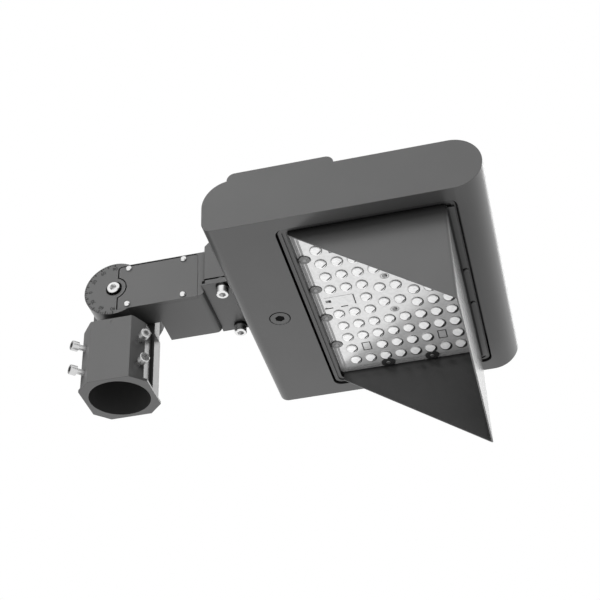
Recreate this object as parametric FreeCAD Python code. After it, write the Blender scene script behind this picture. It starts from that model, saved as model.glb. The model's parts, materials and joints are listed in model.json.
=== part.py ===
import FreeCAD, Part
import math
import os

# LED flood light on a pole-top slipfitter. Millimetres.
# Origin: centre of the socket's mouth. +Z up along the pole, +X from the pole to the lamp head.

V = FreeCAD.Vector
os.makedirs("parts", exist_ok=True)

# Slipfitter socket
BORE_R = 31.5
BORE_DEPTH = 64.0
SOCKET_FLAT = 36.4
SOCKET_CORNER = 41.2
FAR_CORNER = 35.4
SOCKET_TOP = 74.4
SHOULDER_H = 4.5
SHOULDER_X = 24.0
FAR_HUB_R = 34.4
NEAR_HALF_X = 33.4
STEP_Y = -5.0
RIM_H = 3.0
GROOVE = 0.8
WIRE_HOLE_R = 7.0
WIRE_HOLE_Y = -17.0
PIVOT_Z = 114.4
HUB_R = 32.5
HUB_GAP = 0.8
ARM_HALF_W = 34.0

# Clamp screws, two rows on the two near corner faces
SCREW_R = 3.0
SCREW_HEAD_R = 5.2
SCREW_HEAD_H = 7.0
SCREW_ROWS = (17.4, 46.6)
SCREW_EXPOSED = 8.2
SCREW_TIP_SET = 0.8
SLIDE_CLEAR = 0.05
FIT_CLEAR = 0.15

# Tilt pivot
PIVOT_R = 4.0
PIVOT_HEAD_R = 6.75
PIVOT_HEAD_H = 8.0
PIVOT_HEAD_PROUD = 3.2
PIVOT_POCKET_R = 8.75
FACE_GAP = 0.4

# Arm
ARM_HALF_H = 28.0
ARM_END_X = 98.0
ARM_RELIEF_R = 50.5
ARM_WALL = 4.0
HUB_WALL = 8.0
COVER_X0 = 5.0
COVER_X1 = 91.0
COVER_HALF_H = 26.0
COVER_T = 2.5
COVER_NOTCH_R = 14.0
COVER_CORNER = 3.0
COVER_SEAM = 1.2
COVER_END_SEAM = 0.2
COVER_LAND = 8.0
COVER_OPEN_X = 26.0
COVER_OPEN_DEEP = 10.0
COVER_SCREW_X = (15.4, 75.4)
COVER_SCREW_Z = 23.0
COVER_SCREW = (1.9, 3.1, 2.2, 8.0)
GASKET_T = 1.0
TONGUE_HALF_W = 42.0
TONGUE_TOP = -16.2
TONGUE_T = 5.8
TONGUE_X1 = 129.5
NECK_BOLT_X = 118.0
NECK_BOLT_Y = 34.9
NECK_BOLT_R = 4.0
NECK_BOLT_HEAD_R = 6.5
NECK_BOLT_HEAD_H = 8.0
NECK_BOLT_IN = 14.0
FLAT_WASHER = (7.0, 1.2)
SPRING_WASHER = (6.8, 1.6)
SPRING_SPLIT = 1.2
PAD_H = 1.8
PAD_R = 6.6
ARM_END_R = 5.5
TONGUE_NOTCH = (3.4, 14.0, 4.0)

# Lamp head, heights counted from the pivot
HEAD_HALF_W = 154.0
HEAD_TOP = 10.0
HEAD_H = 58.4
HEAD_X0 = 131.3
HEAD_X1 = 399.4
HEAD_CORNER = 10.0
HEAD_WALL = 4.0
RIDGE_X0 = 156.2
RIDGE_X1 = 261.0
RIDGE_H = 8.2
RIDGE_R = 8.0
CHEEK = 6.0
NECK_X0 = 100.5
NECK_TOP = 34.0
NECK_CHAMFER = 4.0
WIRE_R = 11.0
WIRE_Z = 6.0
PLUG_BACK = 28.2
PLUG_R = 10.5
PLUG_STEM_R = 5.0
PLUG_DEEP = 16.0
PLUG_SOCKET = 9.0
PLUG_GAP = 0.5

# Driver bay
LID_GAP = 0.4
LID_T = 3.0
LID_REST = 5.0
LID_SEAT = 4.5
LID_SCREW = (1.5, 2.7, 1.8, 11.0)
LID_SCREW_IN = 2.5
LID_SCREW_END = 28.0
DRIVER = (58.0, 190.0, 28.0)
DRIVER_EAR = (10.0, 8.0, 2.0)
DRIVER_SCREW = (2.0, 3.5, 2.4, 7.0)
SURGE_CLEAR = 3.2
SURGE_W = 50.0
SURGE_H = 26.0
TERMINAL = (20.0, 60.0, 18.0)
TERMINAL_WAYS = 5
TERMINAL_SCREW_R = 3.0
TERMINAL_WIRE_R = 2.4
BAY_IN = 10.7
BAY_SIDE = 75.0

# Optical window in the underside
WINDOW_L = 173.0
WINDOW_SIDE = 16.0
WINDOW_R = 9.0
WINDOW_DEPTH = 17.4
WEB_T = 6.0
NOTCHES = 6
NOTCH_PITCH = 37.4
NOTCH = (1.6, 3.2, 3.0)
NOTCH_SET = 3.4
FRAME_GAP = 2.0
FRAME_BACK_BAR = 9.4
FRAME_FRONT_BAR = 9.8
FRAME_END_BAR = 7.5
FRAME_IN_R = 4.0
FRAME_SET = 2.0
FRAME_STEP = 1.2
LENS_T = 2.8
LENS_LOW = 10.4
LENS_EDGE = 4.0
LENS_R = 6.0
BOARD_T = 1.6
BOARD_IN = 2.0
BOARD_R = 3.0
CHIP = 5.0
CHIP_H = 0.8
COLUMNS = 8
ROWS = 11
COLUMN_EDGE = 19.9
ROW_EDGE = 21.75
FIELD_IN = 5.0
FIELD_END_IN = 9.0
FIELD_H = 0.8
SCALLOP_R = 5.5
MIDDLE_RECESS_R = 4.2
DOME_R = 6.3
DOME_H = 3.4
SQUARE_H = 1.0
MIDDLE_Y = 12.6
MIDDLE_SCREW_Y = 29.0
LENS_SCREW = (1.5, 2.75, 2.0, 11.5)
EDGE_SCREW_IN = 6.0
EDGE_SCREW_Y = (25.0, 75.5)
END_SCREW_IN = 7.0
END_SCREW_X = 24.0
CONNECTOR = (31.0, 17.0)
CONNECTOR_PROUD = 4.0
CONNECTOR_GAP = 0.5

# Glare shield
VISOR_PLAY = 0.5
VISOR_BACK = 2.2
VISOR_T = 1.5
VISOR_START = 1.1
VISOR_UNDER_LENS = 3.0
VISOR_DROP = 105.3
VISOR_BEND = 3.0
VISOR_FLANGE = 7.0
VISOR_SCREW = (1.5, 2.4, 1.4, 7.0)
VISOR_SCREW_IN = 3.6
VISOR_SCREW_Y = 28.0

HEAD_LOW = HEAD_TOP - HEAD_H
NOSE_R = HEAD_H / 2
WINDOW_X1 = HEAD_X1 - NOSE_R
WINDOW_X0 = WINDOW_X1 - WINDOW_L
WINDOW_X = WINDOW_X1 - WINDOW_L / 2
PLUG_X = WINDOW_X0 - PLUG_BACK
WINDOW_HALF_W = HEAD_HALF_W - WINDOW_SIDE
WINDOW_TOP = HEAD_LOW + WINDOW_DEPTH
FRAME_IN_X0 = WINDOW_X0 + FRAME_BACK_BAR
FRAME_IN_X1 = WINDOW_X1 - FRAME_FRONT_BAR
FRAME_IN_HALF_W = WINDOW_HALF_W - FRAME_END_BAR
COLUMN_PITCH = (FRAME_IN_X1 - FRAME_IN_X0 - 2 * COLUMN_EDGE) / (COLUMNS - 1)
ROW_PITCH = 2 * (FRAME_IN_HALF_W - ROW_EDGE) / (ROWS - 1)
VISOR_X0 = FRAME_IN_X0 + VISOR_BACK
VISOR_X1 = FRAME_IN_X1 - VISOR_PLAY
VISOR_HALF_W = FRAME_IN_HALF_W - VISOR_PLAY
LENS_Z = HEAD_LOW + LENS_LOW
FRAME_Z = HEAD_LOW + FRAME_SET
WEB_TOP = WINDOW_TOP + WEB_T
RIDGE_TOP = HEAD_TOP + RIDGE_H
TONGUE_LOW = TONGUE_TOP - TONGUE_T
PIVOT = V(0, 0, PIVOT_Z)


def box(x0, x1, y0, y1, z0, z1):
    """Box from its six limits, heights counted from the pivot."""
    return Part.makeBox(x1 - x0, y1 - y0, z1 - z0, V(x0, y0, z0 + PIVOT_Z))


def rod(radius, start, end):
    """Round bar between two points, heights counted from the pivot."""
    way = end - start
    return Part.makeCylinder(radius, way.Length, start + PIVOT, way)


def prism(points, y0, y1):
    """Side outline (x, z from the pivot) drawn out along Y."""
    corners = [V(x, y0, z + PIVOT_Z) for x, z in points]
    wire = Part.makePolygon(corners + corners[:1])
    return Part.Face(wire).extrude(V(0, y1 - y0, 0))


def rounded(x0, x1, half_w, z0, z1, radius):
    """Upright plate with rounded corners, centred on Y."""
    plate = box(x0, x1, -half_w, half_w, z0, z1)
    upright = [e for e in plate.Edges if abs(e.tangentAt(e.FirstParameter).z) > 0.99]
    return plate.makeFillet(radius, upright)


def hexagon(across, start, end):
    """Hexagonal bar between two points, heights counted from the pivot."""
    way = end - start
    radius = across / math.sqrt(3)
    side = V(0, 0, 1) if abs(way.z) < 0.5 * way.Length else V(1, 0, 0)
    turn = FreeCAD.Rotation(way, 60)
    spoke = side.cross(way).normalize() * radius
    points = []
    for _ in range(6):
        points.append(start + PIVOT + spoke)
        spoke = turn.multVec(spoke)
    return Part.Face(Part.makePolygon(points + points[:1])).extrude(way)


def socket_screw(radius, head_r, head_h, under_head, tip, outward):
    """Cap screw with a hexagon socket in its head."""
    shank = rod(radius, tip, under_head)
    top = under_head + outward * head_h
    head = rod(head_r, under_head, top)
    rim = [e for e in head.Edges if e.Closed and (e.CenterOfMass - top - PIVOT).Length < 0.01]
    head = head.makeChamfer(0.6, rim)
    socket = hexagon(head_r, top - outward * head_h * 0.5, top)
    return head.cut(socket).fuse(shank).removeSplitter()


def pan_screw(size, under_head, outward):
    """Low round-headed screw: size is shank radius, head radius, head height, length."""
    radius, head_r, head_h, length = size
    top = under_head + outward * head_h
    head = rod(head_r, under_head, top)
    rim = [e for e in head.Edges if e.Closed and (e.CenterOfMass - top - PIVOT).Length < 0.01]
    head = head.makeChamfer(head_h * 0.4, rim)
    shank = rod(radius, under_head - outward * length, under_head)
    return head.fuse(shank).removeSplitter()


def octagon(flat, corner, z0, z1):
    """Eight-sided bar about the pole, heights counted from the mouth."""
    half = corner * math.sqrt(2) - flat
    ring = [(flat, -half), (flat, half), (half, flat), (-half, flat)]
    ring += [(-x, -y) for x, y in ring]
    points = [V(x, y, z0) for x, y in ring]
    return Part.Face(Part.makePolygon(points + points[:1])).extrude(V(0, 0, z1 - z0))


def save(shape, name):
    solid = shape.removeSplitter() if len(shape.Solids) == 1 else shape
    solid.exportStep("parts/" + name + ".step")


def group(solids, name):
    Part.makeCompound(solids).exportStep("parts/" + name + ".step")


# Clamp screws: directions and places
CORNERS = [V(1, -1, 0).normalize(), V(-1, -1, 0).normalize()]
SCREW_PLACES = [(way, row) for way in CORNERS for row in SCREW_ROWS]


def at_mouth(way, distance, height):
    return way * distance + V(0, 0, height - PIVOT_Z)


# Slipfitter body: rim, socket with thick near corners, sloping shoulders, far half of the knuckle
low = SOCKET_TOP - SHOULDER_H - PIVOT_Z
high = SOCKET_TOP - PIVOT_Z
rim = RIM_H - PIVOT_Z
near_half = octagon(SOCKET_FLAT, SOCKET_CORNER, 0, SOCKET_TOP)
near_half = near_half.common(box(-NEAR_HALF_X, NEAR_HALF_X, -SOCKET_CORNER, STEP_Y, -PIVOT_Z, high))
far_half = octagon(SOCKET_FLAT, FAR_CORNER, 0, SOCKET_TOP)
far_half = far_half.common(box(-SOCKET_CORNER, SOCKET_CORNER, STEP_Y, SOCKET_CORNER, -PIVOT_Z, high))
socket = octagon(SOCKET_FLAT, SOCKET_CORNER, 0, RIM_H).fuse(near_half).fuse(far_half).removeSplitter()
groove_x = NEAR_HALF_X - GROOVE
for side in (1, -1):
    groove_x0, groove_x1 = sorted((side * groove_x, side * (SOCKET_FLAT + 1)))
    socket = socket.cut(box(groove_x0, groove_x1, STEP_Y - GROOVE, STEP_Y, rim, high + 1))
    outline = [(side * NEAR_HALF_X, low), (side * SHOULDER_X, high), (side * SHOULDER_X, high + 1)]
    outline += [(side * (SOCKET_FLAT + 1), high + 1), (side * (SOCKET_FLAT + 1), low)]
    socket = socket.cut(prism(outline, -SOCKET_CORNER, SOCKET_CORNER))
hub = rod(FAR_HUB_R, V(0, HUB_GAP / 2, 0), V(0, ARM_HALF_W, 0))
web = box(-FAR_HUB_R, FAR_HUB_R, HUB_GAP / 2, ARM_HALF_W, low, 0)
hub = hub.fuse(web.common(octagon(SOCKET_FLAT, FAR_CORNER, 0, PIVOT_Z)))
body = socket.fuse(hub)
body = body.cut(Part.makeCylinder(BORE_R, BORE_DEPTH))
for way, row in SCREW_PLACES:
    inner = at_mouth(way, BORE_R - 2, row)
    outer = at_mouth(way, SOCKET_CORNER + 2, row)
    body = body.cut(rod(SCREW_R + SLIDE_CLEAR, inner, outer))
body = body.cut(rod(PIVOT_R + FIT_CLEAR, V(0, 0, 0), V(0, ARM_HALF_W + 1, 0)))
NUT_T = 8.0
NUT_ACROSS = 13.0
WASHER_T = 1.6
WASHER_R = 8.0
nut_floor = ARM_HALF_W - NUT_T - WASHER_T
body = body.cut(rod(WASHER_R + FIT_CLEAR, V(0, nut_floor, 0), V(0, ARM_HALF_W + 1, 0)))
wire_hole = Part.makeCylinder(WIRE_HOLE_R, SOCKET_TOP, V(0, WIRE_HOLE_Y, BORE_DEPTH - 1))
body = body.cut(wire_hole.common(octagon(SOCKET_FLAT, SOCKET_CORNER, 0, SOCKET_TOP + 1)))
pointer = box(-0.5, 0.5, -SOCKET_FLAT - 1, -SOCKET_FLAT + 0.4, high - 5, high - 2.5)
body = body.cut(pointer)
save(body, "slipfitter_body")

# Clamp screws stand off the corner faces; their tips rest just outside the bore
for number, (way, row) in enumerate(SCREW_PLACES, 1):
    tip = at_mouth(way, BORE_R + SCREW_TIP_SET, row)
    seat = at_mouth(way, SOCKET_CORNER + SCREW_EXPOSED, row)
    screw = socket_screw(SCREW_R, SCREW_HEAD_R, SCREW_HEAD_H, seat, tip, way)
    save(screw, "clamp_screw_" + str(number))

# Pivot bolt, washer and nut
near = V(0, -1, 0)
head_seat = V(0, -ARM_HALF_W - PIVOT_HEAD_PROUD + PIVOT_HEAD_H, 0)
bolt_end = V(0, ARM_HALF_W + 1, 0)
save(socket_screw(PIVOT_R, PIVOT_HEAD_R, PIVOT_HEAD_H, head_seat, bolt_end, near), "pivot_bolt")
washer = rod(WASHER_R, V(0, nut_floor, 0), V(0, nut_floor + WASHER_T, 0))
save(washer.cut(rod(PIVOT_R + FIT_CLEAR, V(0, 0, 0), bolt_end)), "pivot_washer")
nut = hexagon(NUT_ACROSS, V(0, nut_floor + WASHER_T, 0), V(0, ARM_HALF_W, 0))
save(nut.cut(rod(PIVOT_R + FIT_CLEAR, V(0, 0, 0), bolt_end)), "pivot_nut")

# Arm: near half of the knuckle, hollow beam, tongue under the lamp head's neck
near_hub = rod(HUB_R, V(0, -ARM_HALF_W, 0), V(0, -HUB_GAP / 2, 0))
cheek = box(0, ARM_RELIEF_R + HUB_WALL, -ARM_HALF_W, -HUB_GAP / 2, -ARM_HALF_H, ARM_HALF_H)
beam = box(0, ARM_END_X, -ARM_HALF_W, ARM_HALF_W, -ARM_HALF_H, ARM_HALF_H)
end_edge = [e for e in beam.Edges if (e.CenterOfMass - PIVOT - V(ARM_END_X, 0, -ARM_HALF_H)).Length < 0.01]
beam = beam.makeFillet(ARM_END_R, end_edge)
beam = beam.cut(rod(ARM_RELIEF_R, V(0, -HUB_GAP / 2, 0), V(0, ARM_HALF_W + 1, 0)))
beam = beam.cut(box(-1, 1, -ARM_HALF_W - 1, ARM_HALF_W + 1, -ARM_HALF_H, ARM_HALF_H))
arm = near_hub.fuse(cheek).fuse(beam)
tongue = box(ARM_END_X - 1, TONGUE_X1, -TONGUE_HALF_W, TONGUE_HALF_W, TONGUE_LOW, TONGUE_TOP)
for side in (1, -1):
    y0, y1 = sorted((side * (TONGUE_HALF_W + 1), side * (TONGUE_HALF_W - TONGUE_NOTCH[1])))
    notch_x1 = ARM_END_X + TONGUE_NOTCH[0]
    tongue = tongue.cut(box(ARM_END_X - 2, notch_x1, y0, y1, TONGUE_TOP - TONGUE_NOTCH[2], TONGUE_TOP + 1))
arm = arm.fuse(tongue).removeSplitter()
hollow_x0 = ARM_RELIEF_R + HUB_WALL
hollow_x1 = ARM_END_X - ARM_WALL
hollow_z = ARM_HALF_H - ARM_WALL
open_x1 = COVER_X1 - COVER_LAND
open_z = COVER_HALF_H - COVER_LAND
open_y = -ARM_HALF_W + COVER_OPEN_DEEP
arm = arm.cut(box(hollow_x0, hollow_x1, open_y, ARM_HALF_W - ARM_WALL, -hollow_z, hollow_z))
arm = arm.cut(box(COVER_OPEN_X, open_x1, -ARM_HALF_W - 1, open_y + 1, -open_z, open_z))
arm = arm.cut(rod(WIRE_R, V(hollow_x1 - 1, 0, WIRE_Z), V(ARM_END_X + 1, 0, WIRE_Z)))
rebate = COVER_T + GASKET_T


def cover_plate(grow, end_grow, low, y0, y1):
    """Cover outline with its bite round the pivot pocket; its lower edge is at the given height."""
    plate = box(COVER_X0 - grow, COVER_X1 + end_grow, y0, y1, low, COVER_HALF_H + grow)
    corners = [e for e in plate.Edges if abs(e.tangentAt(e.FirstParameter).y) > 0.99]
    corners = [e for e in corners if e.CenterOfMass.z > PIVOT_Z]
    plate = plate.makeFillet(COVER_CORNER + grow, corners)
    return plate.cut(rod(COVER_NOTCH_R - grow, V(0, y0 - 1, 0), V(0, y1 + 1, 0)))


arm = arm.cut(cover_plate(COVER_SEAM, COVER_END_SEAM, -ARM_HALF_H, -ARM_HALF_W - 1, -ARM_HALF_W + rebate))
arm = arm.cut(rod(PIVOT_R + SLIDE_CLEAR, V(0, -ARM_HALF_W - 1, 0), V(0, 1, 0)))
arm = arm.cut(rod(PIVOT_POCKET_R, V(0, -ARM_HALF_W - 1, 0), head_seat + V(0, FACE_GAP, 0)))
cover_holes = [V(x, -ARM_HALF_W, z) for x in COVER_SCREW_X for z in (COVER_SCREW_Z, -COVER_SCREW_Z)]
for hole in cover_holes:
    arm = arm.cut(rod(COVER_SCREW[0] + FIT_CLEAR, hole + near, hole - near * (COVER_SCREW[3] + 1)))
bolt_holes = [V(NECK_BOLT_X, y, TONGUE_LOW) for y in (-NECK_BOLT_Y, NECK_BOLT_Y)]
up = V(0, 0, 1)
for hole in bolt_holes:
    arm = arm.fuse(rod(PAD_R, hole, hole + up * (TONGUE_T + PAD_H)))
    arm = arm.cut(rod(NECK_BOLT_R + FIT_CLEAR, hole - up, hole + up * (TONGUE_T + PAD_H + 1)))
# Degree scale: one mark each 15 degrees on the outer half of the hub
MARK_L = 3.0
MARK_W = 0.7
MARK_DEEP = 0.4
MARK_STEP = 15
for turn in range(90, 271, MARK_STEP):
    mark = box(HUB_R - MARK_L, HUB_R + 1, -ARM_HALF_W - 1, -ARM_HALF_W + MARK_DEEP, -MARK_W / 2, MARK_W / 2)
    mark.rotate(PIVOT, V(0, -1, 0), turn)
    arm = arm.cut(mark)
save(arm, "arm_casting")

# The cover's lower edge is flush with the beam's underside and hides the gasket
cover_low = -ARM_HALF_H + SLIDE_CLEAR
rebate_floor = -ARM_HALF_W + rebate
cover = cover_plate(0, 0, cover_low, -ARM_HALF_W, -ARM_HALF_W + COVER_T)
lip = box(COVER_X0, COVER_X1, -ARM_HALF_W, rebate_floor - SLIDE_CLEAR, cover_low, -COVER_HALF_H)
cover = cover.fuse(lip).removeSplitter()
gasket = cover_plate(-0.5, -0.5, -COVER_HALF_H + 0.5, -ARM_HALF_W + COVER_T, rebate_floor)
gasket = gasket.cut(box(COVER_OPEN_X, open_x1, -ARM_HALF_W, 0, -open_z, open_z))
screws = []
for hole in cover_holes:
    through = rod(COVER_SCREW[0] + FIT_CLEAR, hole + near, hole - near * (rebate + 1))
    cover = cover.cut(through)
    gasket = gasket.cut(through)
    screws.append(pan_screw(COVER_SCREW, hole, near))
save(cover, "arm_cover")
save(gasket, "arm_cover_gasket")
group(screws, "arm_cover_screws")

# Neck bolts with a spring washer and a flat washer each, put in from below
washer_stack = FLAT_WASHER[1] + SPRING_WASHER[1]
bolts = []
flats = []
springs = []
for hole in bolt_holes:
    flat_low = hole - up * FLAT_WASHER[1]
    seat = hole - up * washer_stack
    clear = rod(NECK_BOLT_R + FIT_CLEAR, seat - up, hole + up)
    flats.append(rod(FLAT_WASHER[0], flat_low, hole).cut(clear))
    split_y = SPRING_SPLIT / 2
    split = box(hole.x, hole.x + PAD_R, hole.y - split_y, hole.y + split_y, seat.z - 1, hole.z)
    springs.append(rod(SPRING_WASHER[0], seat, flat_low).cut(clear).cut(split))
    tip = hole + up * (TONGUE_T + PAD_H + NECK_BOLT_IN)
    bolts.append(socket_screw(NECK_BOLT_R, NECK_BOLT_HEAD_R, NECK_BOLT_HEAD_H, seat, tip, V(0, 0, -1)))
group(bolts, "neck_bolts")
group(flats, "neck_washers")
group(springs, "neck_spring_washers")


def head_profile(inset, y0, y1):
    """Side outline of the lamp head: round nose, round upper back edge, small lower corner."""
    x0 = HEAD_X0 + inset
    x1 = HEAD_X1 - inset
    low = HEAD_LOW + inset + PIVOT_Z
    high = HEAD_TOP - inset + PIVOT_Z
    nose = NOSE_R - inset
    corner = max(HEAD_CORNER - inset, 2.0)
    middle = (low + high) / 2
    half = math.sqrt(0.5)
    start = V(x0 + corner, y0, low)
    under = V(x1 - nose, y0, low)
    over = V(x1 - nose, y0, high)
    back_top = V(x0 + nose, y0, high)
    back = V(x0, y0, high - nose)
    back_low = V(x0, y0, low + corner)
    arc_nose = Part.Arc(under, V(x1, y0, middle), over).toShape()
    bend = V(x0 + nose * (1 - half), y0, high - nose * (1 - half))
    arc_back = Part.Arc(back_top, bend, back).toShape()
    knee = V(x0 + corner * (1 - half), y0, low + corner * (1 - half))
    arc_low = Part.Arc(back_low, knee, start).toShape()
    lines = [Part.makeLine(start, under), arc_nose, Part.makeLine(over, back_top), arc_back]
    lines += [Part.makeLine(back, back_low), arc_low]
    return Part.Face(Part.Wire(lines)).extrude(V(0, y1 - y0, 0))


def ridge(inset, y0, y1, z0):
    """Raised driver ridge with rounded upper edges along Y."""
    block = box(RIDGE_X0 + inset, RIDGE_X1 - inset, y0, y1, z0, RIDGE_TOP - inset)
    upper = [e for e in block.Edges if abs(e.tangentAt(e.FirstParameter).y) > 0.99]
    upper = [e for e in upper if e.CenterOfMass.z > RIDGE_TOP - inset + PIVOT_Z - 0.01]
    radius = min(RIDGE_R, RIDGE_TOP - z0 - 0.5) - inset
    return block.makeFillet(max(radius, 1.0), upper)


# Lamp head housing with its neck block, cheeks beside the driver lid and the optical window
housing = head_profile(0, -HEAD_HALF_W, HEAD_HALF_W)
neck_low = TONGUE_TOP + PAD_H
outline = [(NECK_X0, neck_low), (NECK_X0, NECK_TOP - NECK_CHAMFER)]
outline += [(NECK_X0 + NECK_CHAMFER, NECK_TOP), (NECK_BOLT_X, NECK_TOP)]
outline += [(RIDGE_X0, HEAD_TOP), (RIDGE_X0 + 6, neck_low)]
neck = prism(outline, -TONGUE_HALF_W, TONGUE_HALF_W)
edges = [e for e in neck.Edges if abs(e.tangentAt(e.FirstParameter).y) < 0.01]
edges = [e for e in edges if e.CenterOfMass.z > neck_low + PIVOT_Z + 30 and e.CenterOfMass.x > NECK_X0 + 1]
neck = neck.makeFillet(2.5, edges)
housing = housing.fuse(neck)
for side in (-1, 1):
    far = side * HEAD_HALF_W
    y0, y1 = sorted((far, far - side * CHEEK))
    housing = housing.fuse(ridge(0, y0, y1, HEAD_TOP - 12))
housing = housing.removeSplitter()
inner = HEAD_HALF_W - CHEEK
bay = head_profile(HEAD_WALL, -inner, inner)
bay = bay.cut(box(HEAD_X0, HEAD_X1, -inner - 1, inner + 1, HEAD_LOW, WEB_TOP))
back_bay = head_profile(HEAD_WALL, -inner, inner)
back_bay = back_bay.common(box(HEAD_X0, WINDOW_X0 - HEAD_WALL, -inner, inner, HEAD_LOW, WEB_TOP + 1))
housing = housing.cut(bay).cut(back_bay)
lid_x0 = RIDGE_X0 + LID_REST
lid_x1 = RIDGE_X1 - LID_REST
lid_y = inner - LID_REST
housing = housing.cut(box(lid_x0, lid_x1, -lid_y, lid_y, HEAD_TOP - HEAD_WALL - 1, HEAD_TOP + 1))
window = rounded(WINDOW_X0, WINDOW_X1, WINDOW_HALF_W, HEAD_LOW - 1, WINDOW_TOP, WINDOW_R)
housing = housing.cut(window)
# Small pry slots along the window's back edge
for k in range(NOTCHES):
    y0 = NOTCH_PITCH * (k - (NOTCHES - 1) / 2) - NOTCH[1] / 2
    z0 = HEAD_LOW + NOTCH_SET
    housing = housing.cut(box(WINDOW_X0 - NOTCH[0], WINDOW_X0 + 1, y0, y0 + NOTCH[1], z0, z0 + NOTCH[2]))
wire_way = rod(WIRE_R, V(NECK_X0 - 1, 0, WIRE_Z), V(HEAD_X0 + HEAD_WALL + 10, 0, WIRE_Z))
housing = housing.cut(wire_way)
for hole in bolt_holes:
    deep = hole + up * (TONGUE_T + PAD_H + NECK_BOLT_IN + 1)
    housing = housing.cut(rod(NECK_BOLT_R + FIT_CLEAR, hole, deep))
plug_top = HEAD_LOW + PLUG_DEEP
plug_face = V(PLUG_X, 0, HEAD_LOW)
plug_cone = PLUG_R - PLUG_STEM_R
housing = housing.fuse(rod(PLUG_R, plug_face, V(PLUG_X, 0, plug_top)))
plug_hole = rod(PLUG_STEM_R + FIT_CLEAR, plug_face - up, V(PLUG_X, 0, plug_top + 1))
sink = Part.makeCone(PLUG_R, PLUG_STEM_R, plug_cone, plug_face + PIVOT, up)
housing = housing.cut(plug_hole).cut(sink)

# Screw places of the lens plate: middle pair, long edges, ends
lens_places = [(WINDOW_X, y) for y in (-MIDDLE_SCREW_Y, MIDDLE_SCREW_Y)]
for y in EDGE_SCREW_Y:
    for x in (FRAME_IN_X0 + EDGE_SCREW_IN, FRAME_IN_X1 - EDGE_SCREW_IN):
        lens_places += [(x, y), (x, -y)]
end_screw_y = FRAME_IN_HALF_W - END_SCREW_IN
for x in (WINDOW_X - END_SCREW_X, WINDOW_X + END_SCREW_X):
    lens_places += [(x, end_screw_y), (x, -end_screw_y)]
lens_holes = [V(x, y, LENS_Z) for x, y in lens_places]
for hole in lens_holes:
    housing = housing.cut(rod(LENS_SCREW[0] + FIT_CLEAR, hole, hole + up * (LENS_SCREW[3] + 0.5)))

# Driver bay: lid screws, driver screws
lid_screw_y = inner - LID_SCREW_END
lid_columns = (lid_x0 - LID_SCREW_IN, lid_x1 + LID_SCREW_IN)
lid_places = [(x, y) for x in lid_columns for y in (-lid_screw_y, 0, lid_screw_y)]
lid_screw_low = HEAD_TOP + LID_SEAT - LID_SCREW[3]
for x, y in lid_places:
    housing = housing.cut(rod(LID_SCREW[0] + FIT_CLEAR, V(x, y, lid_screw_low - 1), V(x, y, HEAD_TOP + 1)))
driver_x = WINDOW_X0 + DRIVER[0] / 2
ear_y = (DRIVER[1] + DRIVER_EAR[1]) / 2
driver_holes = [V(driver_x, y, WEB_TOP + DRIVER_EAR[2]) for y in (-ear_y, ear_y)]
for hole in driver_holes:
    housing = housing.cut(rod(DRIVER_SCREW[0] + FIT_CLEAR, hole + up, hole - up * DRIVER_SCREW[3]))
save(housing, "head_housing")

# Countersunk plug with a hexagon socket
plug = Part.makeCone(PLUG_R - PLUG_GAP, PLUG_STEM_R - PLUG_GAP, plug_cone, plug_face + PIVOT, up)
plug = plug.fuse(rod(PLUG_STEM_R - PLUG_GAP, plug_face + up, V(PLUG_X, 0, plug_top)))
plug = plug.cut(hexagon(PLUG_SOCKET, plug_face - up, plug_face + up * plug_cone / 2))
save(plug, "housing_plug")

# Rubber grommet in the neck
grommet = rod(WIRE_R - 0.1, V(NECK_X0 + 2, 0, WIRE_Z), V(NECK_X0 + 18, 0, WIRE_Z))
grommet = grommet.cut(rod(WIRE_R - 5, V(NECK_X0, 0, WIRE_Z), V(NECK_X0 + 20, 0, WIRE_Z)))
save(grommet, "wire_grommet")

# Driver lid between the cheeks, its gasket and screws
lid_w = inner - LID_GAP
lid = ridge(0, -lid_w, lid_w, HEAD_TOP + GASKET_T)
lid = lid.cut(box(lid_x0, lid_x1, -lid_y, lid_y, HEAD_TOP, RIDGE_TOP - LID_T))
seal = box(RIDGE_X0 + 4, RIDGE_X1, -lid_w, lid_w, HEAD_TOP, HEAD_TOP + GASKET_T)
seal = seal.cut(box(lid_x0, lid_x1, -lid_y, lid_y, HEAD_TOP - 1, RIDGE_TOP))
screws = []
for x, y in lid_places:
    seat = V(x, y, HEAD_TOP + LID_SEAT)
    lid = lid.cut(rod(LID_SCREW[0] + FIT_CLEAR, V(x, y, HEAD_TOP), V(x, y, RIDGE_TOP + 1)))
    lid = lid.cut(rod(LID_SCREW[1] + FIT_CLEAR, seat, V(x, y, RIDGE_TOP + 1)))
    seal = seal.cut(rod(LID_SCREW[0] + FIT_CLEAR, V(x, y, HEAD_TOP - 1), V(x, y, RIDGE_TOP)))
    screws.append(pan_screw(LID_SCREW, seat, up))
save(lid, "driver_lid")
save(seal, "driver_lid_gasket")
group(screws, "driver_lid_screws")

# LED driver with a screw ear at each end, surge protector, terminal block
half_x = DRIVER[0] / 2
half_y = DRIVER[1] / 2
driver = box(driver_x - half_x, driver_x + half_x, -half_y, half_y, WEB_TOP, WEB_TOP + DRIVER[2])
driver = driver.makeFillet(2.0, [e for e in driver.Edges if e.CenterOfMass.z > WEB_TOP + 3 + PIVOT_Z])
ear_x = half_x - DRIVER_EAR[0]
ear_end = half_y + DRIVER_EAR[1]
ears = box(driver_x - ear_x, driver_x + ear_x, -ear_end, ear_end, WEB_TOP, WEB_TOP + DRIVER_EAR[2])
driver = driver.fuse(ears).removeSplitter()
screws = []
for hole in driver_holes:
    driver = driver.cut(rod(DRIVER_SCREW[0] + FIT_CLEAR, hole + up, hole - up * (DRIVER_EAR[2] + 1)))
    screws.append(pan_screw(DRIVER_SCREW, hole, up))
save(driver, "led_driver")
group(screws, "led_driver_screws")
floor = HEAD_LOW + HEAD_WALL
bay_x = HEAD_X0 + HEAD_WALL + BAY_IN


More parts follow.
